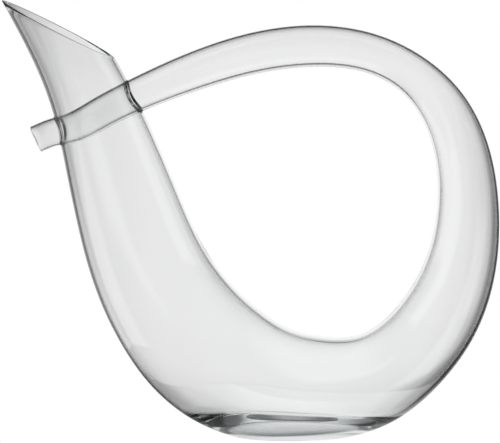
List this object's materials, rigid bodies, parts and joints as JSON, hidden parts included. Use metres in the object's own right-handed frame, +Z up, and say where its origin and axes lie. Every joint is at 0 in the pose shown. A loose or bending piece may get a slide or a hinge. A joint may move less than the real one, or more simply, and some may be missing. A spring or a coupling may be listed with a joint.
{
  "type": "wine decanter",
  "caption": "Clear glass ring-shaped wine decanter with a slanted pouring mouth and a hollow handle that passes through its neck.",
  "frame": {"origin": "centre of the footprint's bounding box, on the plane that the ground foot stands on", "axes": "+Z up; +X from the pouring mouth towards the riser, along the length; Y across the ring's plane, which is a plane of symmetry"},
  "size_m": [0.2969, 0.078, 0.2639],
  "materials": {
    "clear_glass": "mouth-blown, fire-polished clear glass, with a faint grey-green cast where it is thick"
  },
  "bodies": {
    "root": {"mouth_rim": "clear_glass", "neck": "clear_glass", "bowl": "clear_glass", "lower_bend": "clear_glass", "base_pad": "clear_glass", "riser": "clear_glass", "shoulder_bend": "clear_glass", "arch_tube": "clear_glass", "entry_seal": "clear_glass", "crossing_tube": "clear_glass", "exit_seal": "clear_glass", "stub_tube": "clear_glass", "stub_rim": "clear_glass"}
  },
  "joints": []
}
